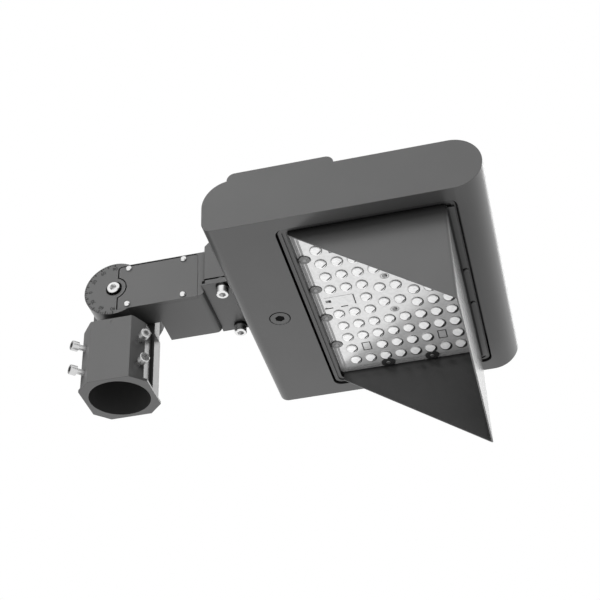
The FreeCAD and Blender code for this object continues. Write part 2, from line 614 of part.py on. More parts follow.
def in_bay(size, middle_y):
    """Block standing on the floor of the back bay."""
    half = size[1] / 2
    return box(bay_x, bay_x + size[0], middle_y - half, middle_y + half, floor, floor + size[2])


surge_l = WINDOW_X0 - HEAD_WALL - SURGE_CLEAR - bay_x
surge = in_bay((surge_l, SURGE_W, SURGE_H), -BAY_SIDE)
surge = surge.makeFillet(2.0, [e for e in surge.Edges if e.CenterOfMass.z > floor + 3 + PIVOT_Z])
save(surge, "surge_protector")
block = in_bay(TERMINAL, BAY_SIDE)
way_pitch = TERMINAL[1] / TERMINAL_WAYS
screw_x = bay_x + TERMINAL[0] / 4
for way in range(TERMINAL_WAYS):
    y = BAY_SIDE + way_pitch * (way - (TERMINAL_WAYS - 1) / 2)
    wire = V(bay_x + TERMINAL[0] / 2, y, floor + TERMINAL[2] * 0.4)
    well = V(screw_x, y, floor + TERMINAL[2] / 2)
    block = block.cut(rod(TERMINAL_SCREW_R, well, well + up * TERMINAL[2]))
    block = block.cut(rod(TERMINAL_WIRE_R, wire, wire + V(TERMINAL[0] / 2 + 1, 0, 0)))
save(block, "terminal_block")

# Lens places: regular grid; the middle columns make room for two screws, two squares and a plug break it
columns = [WINDOW_X + COLUMN_PITCH * (k - (COLUMNS - 1) / 2) for k in range(COLUMNS)]
rows = [ROW_PITCH * (k - (ROWS - 1) / 2) for k in range(ROWS)]
square_columns = (columns[1], columns[6])
square_row = 4 * ROW_PITCH
places = []
squares = []
for x in columns:
    middle = abs(x - WINDOW_X) < COLUMN_PITCH
    for y in rows:
        if middle and abs(y) < 1.5 * ROW_PITCH:
            continue
        if abs(y) < 1 and x < columns[2] - 1:
            continue
        if x in square_columns and abs(abs(y) - square_row) < 1:
            squares.append((x, y))
            continue
        places.append((x, y))
    if middle:
        places += [(x, MIDDLE_Y), (x, -MIDDLE_Y)]

# LED board, chips, connector
board_x0 = FRAME_IN_X0 + BOARD_IN
board_x1 = FRAME_IN_X1 - BOARD_IN
board_w = FRAME_IN_HALF_W - BOARD_IN
board_low = WINDOW_TOP - BOARD_T
board = rounded(board_x0, board_x1, board_w, board_low, WINDOW_TOP, BOARD_R)
chips = []
for x, y in places:
    chips.append(box(x - CHIP / 2, x + CHIP / 2, y - CHIP / 2, y + CHIP / 2, board_low - CHIP_H, board_low))
plug_x = (columns[0] + columns[1]) / 2 - 2
plug_low = LENS_Z - CONNECTOR_PROUD
plug_half = CONNECTOR[0] / 2
plug_w = CONNECTOR[1] / 2
connector = box(plug_x - plug_half, plug_x + plug_half, -plug_w, plug_w, plug_low, board_low)
outer = [e for e in connector.Edges if e.CenterOfMass.z < board_low + PIVOT_Z - 1]
connector = connector.makeFillet(1.5, outer)
group(chips, "led_chips")
save(connector, "board_connector")

# Lens plate: thin rim, raised field scalloped round the screws, domes and square marks
lens_x0 = FRAME_IN_X0 - LENS_EDGE
lens_x1 = FRAME_IN_X1 + LENS_EDGE
lens_w = FRAME_IN_HALF_W + LENS_EDGE
lens_top = LENS_Z + LENS_T
lens = rounded(lens_x0, lens_x1, lens_w, LENS_Z, lens_top, LENS_R)
field_z = LENS_Z - FIELD_H
field_w = FRAME_IN_HALF_W - FIELD_END_IN
field = rounded(FRAME_IN_X0 + FIELD_IN, FRAME_IN_X1 - FIELD_IN, field_w, field_z, LENS_Z + 0.5, BOARD_R)
for hole in lens_holes:
    recess = MIDDLE_RECESS_R if hole.x == WINDOW_X else SCALLOP_R
    field = field.cut(rod(recess, hole - up * (FIELD_H + 1), hole))
lens = lens.fuse(field)
ball = (DOME_R ** 2 + DOME_H ** 2) / (2 * DOME_H)
for x, y in places:
    dome = Part.makeSphere(ball, V(x, y, field_z + PIVOT_Z - DOME_H + ball))
    cap = dome.common(box(x - DOME_R, x + DOME_R, y - DOME_R, y + DOME_R, field_z - DOME_H, field_z + 0.5))
    lens = lens.fuse(cap)
for x, y in squares:
    lens = lens.fuse(box(x - DOME_R, x + DOME_R, y - DOME_R, y + DOME_R, field_z - SQUARE_H, field_z + 0.5))
hole_half = plug_half + CONNECTOR_GAP
hole_w = plug_w + CONNECTOR_GAP
lens = lens.cut(box(plug_x - hole_half, plug_x + hole_half, -hole_w, hole_w, field_z - 1, lens_top + 1))
screws = []
for hole in lens_holes:
    through = rod(LENS_SCREW[0] + FIT_CLEAR, hole - up * 2, hole + up * LENS_SCREW[3])
    lens = lens.cut(through)
    board = board.cut(through)
    screws.append(pan_screw(LENS_SCREW, hole, V(0, 0, -1)))
save(board, "led_board")
save(lens, "lens_plate")
group(screws, "lens_screws")

# Silicone seal between the lens plate's rim and the housing
seal = rounded(lens_x0, lens_x1, lens_w, lens_top, WINDOW_TOP, LENS_R)
seal = seal.cut(rounded(board_x0 - 0.5, board_x1 + 0.5, board_w + 0.5, lens_top - 1, WINDOW_TOP + 1, BOARD_R))
save(seal, "lens_gasket")

# Bezel frame, stepped down towards the window
frame_x0 = WINDOW_X0 + FRAME_GAP
frame_x1 = WINDOW_X1 - FRAME_GAP
frame_w = WINDOW_HALF_W - FRAME_GAP
frame = rounded(frame_x0, frame_x1, frame_w, FRAME_Z, LENS_Z, WINDOW_R - FRAME_GAP)
step_x0 = (frame_x0 + FRAME_IN_X0) / 2
step_x1 = (frame_x1 + FRAME_IN_X1) / 2
step_w = (frame_w + FRAME_IN_HALF_W) / 2
frame = frame.cut(rounded(step_x0, step_x1, step_w, FRAME_Z - 1, FRAME_Z + FRAME_STEP, FRAME_IN_R + 1))
frame = frame.cut(rounded(FRAME_IN_X0, FRAME_IN_X1, FRAME_IN_HALF_W, FRAME_Z - 1, LENS_Z + 1, FRAME_IN_R))
visor_holes = [V(FRAME_IN_X1 + VISOR_SCREW_IN, y, FRAME_Z) for y in (-VISOR_SCREW_Y, VISOR_SCREW_Y)]
visor_screw_hole = VISOR_SCREW[0] + FIT_CLEAR
for hole in visor_holes:
    frame = frame.cut(rod(visor_screw_hole, hole - up, hole + up * VISOR_SCREW[3]))

# Glare shield: two tapered sides and a front, bent from one sheet, with a flange under the frame's front bar
visor_top = LENS_Z - VISOR_UNDER_LENS
start = HEAD_LOW - VISOR_START
end = HEAD_LOW - VISOR_DROP
outline = [(VISOR_X0, visor_top), (VISOR_X0, start), (VISOR_X1, end), (VISOR_X1, visor_top)]
visor = prism(outline, -VISOR_HALF_W, VISOR_HALF_W)
bends = [e for e in visor.Edges if abs(e.tangentAt(e.FirstParameter).z) > 0.99]
bends = [e for e in bends if e.CenterOfMass.x > VISOR_X1 - 0.01]
visor = visor.makeFillet(VISOR_BEND, bends)
inside = [(VISOR_X0 - 1, visor_top + 1), (VISOR_X0 - 1, end - 9), (VISOR_X1 - VISOR_T, end - 9)]
inside += [(VISOR_X1 - VISOR_T, visor_top + 1)]
core = prism(inside, -VISOR_HALF_W + VISOR_T, VISOR_HALF_W - VISOR_T)
bends = [e for e in core.Edges if abs(e.tangentAt(e.FirstParameter).z) > 0.99]
bends = [e for e in bends if e.CenterOfMass.x > VISOR_X1 - VISOR_T - 0.01]
visor = visor.cut(core.makeFillet(VISOR_BEND - VISOR_T, bends))
flange_w = VISOR_HALF_W - VISOR_BEND
flange = box(VISOR_X1 - 0.5, VISOR_X1 + VISOR_FLANGE, -flange_w, flange_w, FRAME_Z - VISOR_T, FRAME_Z)
for hole in visor_holes:
    flange = flange.cut(rod(visor_screw_hole, hole - up * (VISOR_T + 1), hole + up))
visor = visor.fuse(flange).removeSplitter()
save(frame, "lens_frame")
save(visor, "visor")
down = V(0, 0, -1)
screws = [pan_screw(VISOR_SCREW, hole + down * VISOR_T, down) for hole in visor_holes]
group(screws, "visor_screws")
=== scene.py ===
import bmesh
import bpy
import json
import math
from mathutils import Matrix, Vector
from mathutils.geometry import tessellate_polygon


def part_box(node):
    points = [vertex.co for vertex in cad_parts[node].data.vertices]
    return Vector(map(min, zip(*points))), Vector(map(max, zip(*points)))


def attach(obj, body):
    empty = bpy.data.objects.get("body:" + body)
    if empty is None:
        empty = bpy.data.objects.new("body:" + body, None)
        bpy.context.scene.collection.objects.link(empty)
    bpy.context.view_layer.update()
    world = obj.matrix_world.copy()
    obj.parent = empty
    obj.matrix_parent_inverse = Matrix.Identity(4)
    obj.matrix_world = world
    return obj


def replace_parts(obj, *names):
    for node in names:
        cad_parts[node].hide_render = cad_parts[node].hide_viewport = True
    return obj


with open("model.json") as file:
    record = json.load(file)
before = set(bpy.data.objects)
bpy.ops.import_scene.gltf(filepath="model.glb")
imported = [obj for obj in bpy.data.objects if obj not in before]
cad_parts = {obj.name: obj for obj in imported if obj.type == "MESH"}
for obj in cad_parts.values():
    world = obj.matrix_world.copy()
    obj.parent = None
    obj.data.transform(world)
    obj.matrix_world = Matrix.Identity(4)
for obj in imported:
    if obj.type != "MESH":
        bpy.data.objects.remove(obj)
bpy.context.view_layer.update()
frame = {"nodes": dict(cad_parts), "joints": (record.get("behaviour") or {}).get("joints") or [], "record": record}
nodes = frame["nodes"]
scene = bpy.context.scene
MM = 0.001

# The tilt pivot's place, from the frame's own joint
PIVOT = Vector(next(j for j in frame["joints"] if j["name"] == "head_tilt")["pos_m"])


# Materials


def shader(name, colour, rough, metal=0.0, **sockets):
    """New material with a Principled shader whose constants are set on its own sockets."""
    material = bpy.data.materials.new(name)
    material.use_nodes = True
    tree = material.node_tree
    surface = tree.nodes["Principled BSDF"]
    surface.inputs["Base Color"].default_value = (*colour, 1)
    surface.inputs["Roughness"].default_value = rough
    surface.inputs["Metallic"].default_value = metal
    for socket, value in sockets.items():
        surface.inputs[socket.replace("_", " ")].default_value = value
    return material, tree, surface


def add(tree, kind, **inputs):
    node = tree.nodes.new(kind)
    for socket, value in inputs.items():
        node.inputs[socket.replace("_", " ")].default_value = value
    return node


def noise(tree, scale, detail=3.0):
    place = tree.nodes.new("ShaderNodeTexCoord")
    cloud = add(tree, "ShaderNodeTexNoise", Scale=scale, Detail=detail)
    tree.links.new(place.outputs["Object"], cloud.inputs["Vector"])
    return cloud.outputs["Fac"]


def ramp(tree, source, low, high, dark, light):
    """Colour ramp from dark to light between two positions of the source."""
    scale = tree.nodes.new("ShaderNodeValToRGB")
    scale.color_ramp.elements[0].position = low
    scale.color_ramp.elements[1].position = high
    scale.color_ramp.elements[0].color = (*dark, 1)
    scale.color_ramp.elements[1].color = (*light, 1)
    tree.links.new(source, scale.inputs["Fac"])
    return scale.outputs["Color"]


def tinted(tree, surface, source, colour, spread):
    """Base colour wandering a little about its mean with the source."""
    dark = tuple(c * (1 - spread) for c in colour)
    light = tuple(min(1, c * (1 + spread)) for c in colour)
    tone = ramp(tree, source, 0.3, 0.7, dark, light)
    tree.links.new(tone, surface.inputs["Base Color"])
    return tone


def grained(tree, surface, scale, strength, distance, edge=0.0):
    """Fine surface grain, over edges softened by the given radius."""
    height = add(tree, "ShaderNodeBump", Strength=strength, Distance=distance)
    tree.links.new(noise(tree, scale, 2.0), height.inputs["Height"])
    if edge:
        soft = add(tree, "ShaderNodeBevel", Radius=edge)
        soft.samples = 6
        tree.links.new(soft.outputs["Normal"], height.inputs["Normal"])
    tree.links.new(height.outputs["Normal"], surface.inputs["Normal"])


def product(tree, first, second):
    """Two colours multiplied."""
    mix = tree.nodes.new("ShaderNodeMix")
    mix.data_type = "RGBA"
    mix.blend_type = "MULTIPLY"
    mix.inputs["Factor"].default_value = 1.0
    tree.links.new(first, mix.inputs["A"])
    tree.links.new(second, mix.inputs["B"])
    return mix.outputs["Result"]


def hollows(tree, reach, low, high, dark, alone):
    """Painted shade: white on open faces, dark in gaps narrower than the reach; alone leaves out other pieces."""
    hollow = add(tree, "ShaderNodeAmbientOcclusion", Distance=reach)
    hollow.only_local = alone
    return ramp(tree, hollow.outputs["AO"], low, high, (dark, dark, dark), (1, 1, 1))


def facing_share(tree, way):
    """How far a face looks that way in its piece's own frame: 1 straight along it, 0 across it."""
    place = tree.nodes.new("ShaderNodeTexCoord")
    facing = tree.nodes.new("ShaderNodeVectorMath")
    facing.operation = "DOT_PRODUCT"
    facing.inputs[1].default_value = way
    tree.links.new(place.outputs["Normal"], facing.inputs[0])
    return facing.outputs["Value"]


def painted(name, grey, rough, mottle=0.03):
    """Powder coat: faint mottling, fine orange peel, edges rounded by the coat, painted shade in joints, corners
    and recesses.
    """
    material, tree, surface = shader(name, (grey, grey, grey), rough)
    tone = tinted(tree, surface, noise(tree, 22.0), (grey, grey, grey), mottle)
    # Painted shade: base colour darkened in joints, corners and recesses, where shade falls
    shade = hollows(tree, 0.010, 0.25, 0.85, 0.05, False)
    tree.links.new(product(tree, tone, shade), surface.inputs["Base Color"])
    grained(tree, surface, 1400.0, 0.05, 0.0002, 0.0006)
    return material


def metal(name, grey, rough, scale=300.0):
    """Turned steel: faint uneven polish, painted shade in its sockets."""
    material, tree, surface = shader(name, (grey, grey, grey), rough, 1.0)
    cloud = noise(tree, scale)
    spread = ramp(tree, cloud, 0.3, 0.7, (rough * 0.8,) * 3, (rough * 1.2,) * 3)
    tree.links.new(spread, surface.inputs["Roughness"])
    tone = tinted(tree, surface, cloud, (grey, grey, grey), 0.05)
    # Painted shade: base colour darkened in sockets and recesses
    shade = hollows(tree, 0.004, 0.2, 0.75, 0.3, True)
    tree.links.new(product(tree, tone, shade), surface.inputs["Base Color"])
    return material


def plastic(name, colour, rough, scale=120.0, spread=0.05, **sockets):
    """Moulded plastic: slight tone change and fine surface grain."""
    material, tree, surface = shader(name, colour, rough, **sockets)
    tinted(tree, surface, noise(tree, scale), colour, spread)
    grained(tree, surface, 2500.0, 0.04, 0.0001)
    return material


# Painted reflection: lens walls that face this way, in the lamp's own frame, are coloured dark for the shield's
# dark inside
SHIELD_SIDE = Vector((0.62, 0.78, 0.0))


def lens(name, grey, shield_reflection_grey, mirror, flat=0.0, rough=0.22):
    """Clear moulded lens over a white board: part mirror, walls on the shield's side darkened as a painted
    reflection of the shield.

    flat is the share by which its normals turn straight down, which evens its shading.
    """
    material, tree, surface = shader(name, (grey, grey, grey), rough, mirror)
    if flat:
        shape = tree.nodes.new("ShaderNodeNewGeometry")
        down = add(tree, "ShaderNodeVectorTransform", Vector=(0, 0, -1))
        down.vector_type = "NORMAL"
        down.convert_from = "OBJECT"
        down.convert_to = "WORLD"
        blend = tree.nodes.new("ShaderNodeMix")
        blend.data_type = "VECTOR"
        blend.inputs["Factor"].default_value = flat
        tree.links.new(shape.outputs["Normal"], blend.inputs[4])
        tree.links.new(down.outputs["Vector"], blend.inputs[5])
        tree.links.new(blend.outputs[1], surface.inputs["Normal"])
    # Painted reflection: walls that face the shield's side are coloured dark
    tone = ramp(tree, facing_share(tree, SHIELD_SIDE), 0.55, 0.72, (grey,) * 3, (shield_reflection_grey,) * 3)
    cloud = ramp(tree, noise(tree, 300.0), 0.3, 0.7, (0.88, 0.88, 0.88), (1, 1, 1))
    tree.links.new(product(tree, tone, cloud), surface.inputs["Base Color"])
    return material


housing_paint = painted("housing_paint", 0.065, 0.28)
frame_paint = painted("frame_paint", 0.055, 0.40)
visor_paint = painted("visor_paint", 0.072, 0.27)
bright_steel = metal("bright_steel", 0.85, 0.24)
clamp_steel = metal("clamp_steel", 0.68, 0.28)
dull_steel = metal("dull_steel", 0.32, 0.42)
dark_steel = metal("dark_steel", 0.05, 0.4)
seal_rubber = plastic("seal_rubber", (0.012, 0.012, 0.012), 0.8)
driver_case = metal("driver_case", 0.6, 0.4, 60.0)
black_plastic = plastic("black_plastic", (0.02, 0.02, 0.02), 0.6)
white_plastic = plastic("white_plastic", (0.65, 0.65, 0.63), 0.35)
board_white = plastic("board_white", (0.75, 0.75, 0.75), 0.5)
chip_yellow = plastic("chip_yellow", (0.8, 0.68, 0.2), 0.4)
lens_plate_white = lens("lens_plate_white", 0.78, 0.06, 0.55)
lens_dome_white = lens("lens_dome_white", 0.93, 0.02, 0.0, 0.85)
lens_ring_grey = plastic("lens_ring_grey", (0.42, 0.42, 0.42), 0.4, 500.0, 0.1)
# Dark for painted reflections on the lens, and for the square marks
lens_reflection_and_mark_dark = plastic("lens_reflection_and_mark_dark", (0.025, 0.025, 0.025), 0.35, 500.0, 0.1)
lens_boss_grey = plastic("lens_boss_grey", (0.15, 0.15, 0.15), 0.3, 900.0, 0.5)
lens_rim_grey = plastic("lens_rim_grey", (0.29, 0.29, 0.29), 0.25, 500.0, 0.2)
# Black for print, and for painted shade on the connector's cover
print_and_shade_black = plastic("print_and_shade_black", (0.006, 0.006, 0.006), 0.6)
# Black for painted shade laid in recesses and notches
painted_shade_black = plastic("painted_shade_black", (0.006, 0.006, 0.006), 0.9, Specular_IOR_Level=0.05)

by_slot = {
    "housing_paint": housing_paint, "frame_paint": frame_paint, "visor_paint": visor_paint,
    "bright_steel": bright_steel, "dark_steel": dark_steel, "seal_rubber": seal_rubber,
    "driver_case": driver_case, "black_plastic": black_plastic, "white_plastic": white_plastic,
    "board_white": board_white, "chip_yellow": chip_yellow, "lens_clear": lens_plate_white,
}
by_node = {"lens_screws": dull_steel, "visor_screws": visor_paint, "board_connector": lens_plate_white}
by_node.update({"clamp_screw_" + str(k): clamp_steel for k in (1, 2, 3, 4)})
for entry in frame["record"]["subparts"]:
    node = nodes[entry["node"]]
    node.data.materials.clear()
    node.data.materials.append(by_node.get(entry["node"], by_slot[entry["material_slot"]]))


# Pieces


def piece(name, points, faces, material, body="lamp"):
    """Mesh object in the row frame that moves with a CAD body."""
    mesh = bpy.data.meshes.new(name)
    mesh.from_pydata(points, [], faces)
    form = bmesh.new()
    form.from_mesh(mesh)
    bmesh.ops.recalc_face_normals(form, faces=form.faces)
    form.to_mesh(mesh)
    form.free()
    mesh.materials.append(material)
    made = bpy.data.objects.new(name, mesh)
    scene.collection.objects.link(made)
    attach(made, body)
    return made


def centres(node, reach):
    """Middle of each separate solid of a CAD node; solids lie further apart than reach."""
    groups = []
    for vertex in nodes[node].data.vertices:
        point = nodes[node].matrix_world @ vertex.co
        near = next((g for g in groups if (g[0] - point).length < reach), None)
        if near is None:
            groups.append([point])
        else:
            near.append(point)
    middles = []
    for group in groups:
        low = [min(p[k] for p in group) for k in range(3)]
        high = [max(p[k] for p in group) for k in range(3)]
        middles.append((Vector(low) + Vector(high)) / 2)
    return middles


def block(low, high):
    """Points and faces of a box."""
    points = [(x, y, z) for z in (low[2], high[2]) for y in (low[1], high[1]) for x in (low[0], high[0])]
    faces = [(0, 2, 3, 1), (4, 5, 7, 6), (0, 1, 5, 4), (1, 3, 7, 5), (3, 2, 6, 7), (2, 0, 4, 6)]
    return points, faces


def hoop(low, high, width):
    """Points and faces of a rectangular frame, its bars that wide."""
    outer = [(low[0], low[1]), (high[0], low[1]), (high[0], high[1]), (low[0], high[1])]
    inner = [(low[0] + width, low[1] + width), (high[0] - width, low[1] + width)]
    inner += [(high[0] - width, high[1] - width), (low[0] + width, high[1] - width)]
    points = [(x, y, z) for z in (low[2], high[2]) for x, y in outer + inner]
    faces = []
    for k in range(4):
        n = (k + 1) % 4
        faces += [(k, n, n + 8, k + 8), (k + 4, k + 12, n + 12, n + 4)]
        faces += [(k, k + 4, n + 4, n), (k + 8, n + 8, n + 12, k + 12)]
    return points, faces


def turned(profile, centre, segments, stretch, hollow=False):
    """Points and faces of a closed oval form hanging from a centre.

    The profile is radius and drop, from the tip out. A hollow one is a ring: it closes on itself.
    """
    points = []
    for radius, drop in profile:
        for k in range(segments):
            turn = 2 * math.pi * k / segments
            across = centre.y + radius * math.sin(turn) * stretch
            points.append((centre.x + radius * math.cos(turn), across, centre.z - drop))
    last = len(profile) - 1
    ends = () if hollow else (0, last)
    faces = [tuple(end * segments + k for k in range(segments)) for end in ends]
    for ring in range(last + 1 if hollow else last):
        start = ring * segments
        after = (ring + 1) % (last + 1) * segments
        for k in range(segments):
            n = (k + 1) % segments
            faces.append((start + k, after + k, after + n, start + n))
    return points, faces


def band(inside, outside, drop):
    """Profile of a flat ring that hangs by the drop and is let into the plate above."""
    return [(inside, -LET_IN), (inside, drop), (outside, drop), (outside, -LET_IN)]


def together(parts):
    """Points and faces of several parts as one."""
    points = []
    faces = []
    for more_points, more_faces in parts:
        faces += [tuple(i + len(points) for i in face) for face in more_faces]
        points += more_points
    return points, faces


# Dressing is let into what carries it, and printed-on forms stand proud of it by a hair
LET_IN = 0.2 * MM
HAIR = 0.05 * MM

# Lens plate: grey clear rim, white field scalloped round the edge screws, domes in low rings
LENS_RIM = 11.0 * MM
LENS_END_RIM = 13.0 * MM
LENS_T = 2.8 * MM
FIELD_H = 0.8 * MM
FIELD_EDGE = 0.3 * MM
DOME_R = 5.6 * MM
DOME_STRETCH = 1.2
DOME_H = 3.4 * MM
DOME_DROP = 2.4 * MM
DOME_STEPS = 8
DOME_POWER = 0.75
DOME_SEGMENTS = 32
RING = (0.35 * MM, 0.8 * MM)
SCALLOP_R = 6.4 * MM
SHADE_NEAR = (5.9 * MM, 0.0 * MM, 0.5 * MM)
SHADE_FAR = (6.5 * MM, 0.7 * MM, 2.2 * MM)
DASH_NEAR = ((0.99, -0.12), (0.05, 0.52))
DASH_FAR = ((0.98, 0.02), (0.30, 0.78))
DASH_STEPS = 6
DASH_HALF = (0.4 * MM, 0.35 * MM)
DASH_PROUD = 0.12 * MM
DOME_TIP = 0.2 * MM
SHADE_DROP = 0.08 * MM
BEADS = ((4.3 * MM, 1.1 * MM, 0.5 * MM), (8.2 * MM, 0.6 * MM, 0.3 * MM))
SCREW_REACH = 20 * MM
CHIP_REACH = 9 * MM
SCALLOP_STEPS = 14
lens_low, lens_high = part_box("lens_plate")
field_z = lens_low[2] + DOME_H
rim_z = field_z + FIELD_H
field = [lens_low[0] + LENS_RIM, lens_high[0] - LENS_RIM]
field += [lens_low[1] + LENS_END_RIM, lens_high[1] - LENS_END_RIM]
lens_screws = centres("lens_screws", SCREW_REACH)
chips = centres("led_chips", CHIP_REACH)


def scalloped(start, end, bites, radius):
    """Points along an edge from start towards end, with a round bite about each screw near it."""
    way = (end - start).normalized()
    inward = Vector((-way.y, way.x))
    points = [start]
    for screw in sorted(bites, key=lambda s: (s - start).dot(way)):
        distance = (screw - start).dot(way)
        deep = (screw - start).dot(inward)
        half = math.acos(-deep / radius)
        for k in range(SCALLOP_STEPS + 1):
            turn = half * (2 * k / SCALLOP_STEPS - 1)
            step = way * (distance + radius * math.sin(turn))
            points.append(start + step + inward * (deep + radius * math.cos(turn)))
    return points


def field_outline(inset):
    """Corner points of the white field, drawn in from its edge by the inset."""
    spans = [field[0] + inset, field[1] - inset, field[2] + inset, field[3] - inset]
    corners = [Vector((spans[a], spans[b])) for a, b in ((0, 2), (1, 2), (1, 3), (0, 3))]
    flat = [Vector((s.x, s.y)) for s in lens_screws]
    outline = []
    for k, start in enumerate(corners):
        end = corners[(k + 1) % 4]
        way = (end - start).normalized()
        inward = Vector((-way.y, way.x))
        bites = [s for s in flat if (s - start).dot(inward) < SCALLOP_R]
        outline += scalloped(start, end, bites, SCALLOP_R + inset)
    return outline


outer = field_outline(0.0)
inner = field_outline(FIELD_EDGE)
count = len(outer)
field_points = [(p.x, p.y, rim_z) for p in outer]
field_points += [(p.x, p.y, field_z + FIELD_EDGE) for p in outer]
field_points += [(p.x, p.y, field_z) for p in inner]
field_faces = []
for ring in (0, count):
    for k in range(count):
        n = (k + 1) % count
        field_faces.append((ring + k, ring + count + k, ring + count + n, ring + n))
for start, outline in ((0, outer), (2 * count, inner)):
    flat_face = tessellate_polygon([[Vector((p.x, p.y, 0)) for p in outline]])
    field_faces += [tuple(start + i for i in face) for face in flat_face]
piece("lens_field", field_points, field_faces, lens_plate_white)

rim_low = (lens_low[0], lens_low[1], rim_z)
rim_high = (lens_high[0], lens_high[1], rim_z + LENS_T)
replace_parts(piece("lens_rim", *block(rim_low, rim_high), lens_rim_grey), "lens_plate")

# Two clear beads run round the rim beside the bezel
for number, (inset, width, drop) in enumerate(BEADS, 1):
    low = (lens_low[0] + inset, lens_low[1] + inset, rim_z - drop)
    high = (lens_high[0] - inset, lens_high[1] - inset, rim_z)
    piece("lens_bead_" + str(number), *hoop(low, high, width), lens_plate_white)

# Domes: flat-topped ovals with steep walls, a fine grey ring round each
profile = [(DOME_TIP, DOME_DROP)]
for step in range(1, DOME_STEPS + 1):
    turn = math.pi / 2 * step / DOME_STEPS
    drop = DOME_DROP * max(0, math.cos(turn)) ** DOME_POWER
    profile.append((DOME_R * math.sin(turn) ** DOME_POWER, drop))
feet = [Vector((c.x, c.y, field_z)) for c in chips]
domes = [turned(profile, foot, DOME_SEGMENTS, DOME_STRETCH) for foot in feet]
dome_piece = piece("lens_domes", *together(domes), lens_dome_white)
for face in dome_piece.data.polygons:
    face.use_smooth = len(face.vertices) == 4
ring_profile = band(DOME_R + RING[0], DOME_R + RING[1], HAIR)
rings = [turned(ring_profile, foot, DOME_SEGMENTS, DOME_STRETCH, True) for foot in feet]
piece("lens_rings", *together(rings), lens_ring_grey)


def blended(first, second, share):
    """Values of the first turning into those of the second with the share."""
    return [a + (b - a) * share for a, b in zip(first, second)]


def dash(foot, start, end):
    """Painted reflection: thin dark bow over a dome, from start to end in shares of its radius, widest midway."""
    way = Vector((end[0] - start[0], end[1] - start[1])).normalized()
    side = Vector((way.y, -way.x))
    points = []
    for k in range(DASH_STEPS + 1):
        share = k / DASH_STEPS
        x, y = blended(start, end, share)
        slope = math.hypot(x, y) ** (1 / DOME_POWER)
        drop = DOME_DROP * max(0, 1 - slope ** 2) ** (DOME_POWER / 2)
        half = DASH_HALF[0] + DASH_HALF[1] * math.sin(math.pi * share)
        edges = ((half, DASH_PROUD), (-half, DASH_PROUD), (-half, -LET_IN), (half, -LET_IN))
        for way_out, proud in edges:
            across = foot.y + y * DOME_R * DOME_STRETCH + side.y * way_out
            points.append((foot.x + x * DOME_R + side.x * way_out, across, foot.z - drop - proud))
    faces = [(0, 1, 2, 3), tuple(4 * DASH_STEPS + k for k in range(4))]
    for k in range(DASH_STEPS):
        for corner in range(4):
            n = (corner + 1) % 4
            faces.append((4 * k + corner, 4 * k + n, 4 * k + n + 4, 4 * k + corner + 4))
    return points, faces


# Painted reflection of the shield's dark inside at each dome: a dark edge round its foot, broader towards the
# shield's far corner, and a dark bow over it
shades = []
reflection_dashes = []
for foot in feet:
    share_x = (foot.x - lens_low[0]) / (lens_high[0] - lens_low[0])
    share_y = (foot.y - lens_low[1]) / (lens_high[1] - lens_low[1])
    near_shield = min(1, max(0, (0.45 * share_x + 0.55 * share_y - 0.4) / 0.4))
    radius, right, far = blended(SHADE_NEAR, SHADE_FAR, near_shield)
    middle = foot + Vector((right, far, 0))
    disc = [(radius, SHADE_DROP), (radius, -LET_IN)]
    shades.append(turned(disc, middle, DOME_SEGMENTS, DOME_STRETCH))
    ends = [blended(near, far_end, near_shield) for near, far_end in zip(DASH_NEAR, DASH_FAR)]
    reflection_dashes.append(dash(foot, *ends))
piece("lens_shades", *together(shades), lens_reflection_and_mark_dark)
piece("lens_reflection_dashes", *together(reflection_dashes), lens_reflection_and_mark_dark)

# Dark bosses round the edge screws, those at the ends black as painted shade, a fine dark ring round the two in
# the middle
BOSS_R = 6.1 * MM
END_BOSS_R = 7.6 * MM
BOSS_EDGE = 0.4 * MM
BOSS_DROP = rim_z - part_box("lens_screws")[0][2] - BOSS_EDGE
MIDDLE_RING = (3.9 * MM, 4.6 * MM)
MIDDLE_RING_DROP = 0.06 * MM
middle_x = (lens_low[0] + lens_high[0]) / 2
bosses = []
shadowed_end_bosses = []
for screw in lens_screws:
    if abs(screw.x - middle_x) < MM:
        middle_profile = band(*MIDDLE_RING, MIDDLE_RING_DROP)
        foot = Vector((screw.x, screw.y, field_z))
        bosses.append(turned(middle_profile, foot, DOME_SEGMENTS, 1.0, True))
    else:
        at_end = min(screw.y - lens_low[1], lens_high[1] - screw.y) < LENS_END_RIM
        radius = END_BOSS_R if at_end else BOSS_R
        rise = [(radius - BOSS_EDGE, BOSS_DROP), (radius, BOSS_DROP - BOSS_EDGE), (radius, 0.0)]
        boss = turned(rise, Vector((screw.x, screw.y, rim_z)), DOME_SEGMENTS, 1.0)
        (shadowed_end_bosses if at_end else bosses).append(boss)
piece("lens_bosses", *together(bosses), lens_boss_grey)
# Painted shade: the end bosses take black plastic for the shade that falls on them
piece("lens_shadowed_end_bosses", *together(shadowed_end_bosses), black_plastic)

# Square marks in the four places of the grid that have no dome
columns = sorted({round(c.x, 4) for c in chips})
rows = sorted({round(c.y, 4) for c in chips})
SQUARE = (4.8 * MM, 7.4 * MM)
SQUARE_LINE = 1.1 * MM
SQUARE_SPAN = (0.12 * MM, 0.1 * MM)
marks = []
for x in (columns[1], columns[-2]):
    for y in (rows[1], rows[-2]):
        low = (x - SQUARE[0], y - SQUARE[1], field_z - SQUARE_SPAN[0])
        high = (x + SQUARE[0], y + SQUARE[1], field_z + SQUARE_SPAN[1])
        marks.append(hoop(low, high, SQUARE_LINE))
piece("lens_squares", *together(marks), lens_reflection_and_mark_dark)

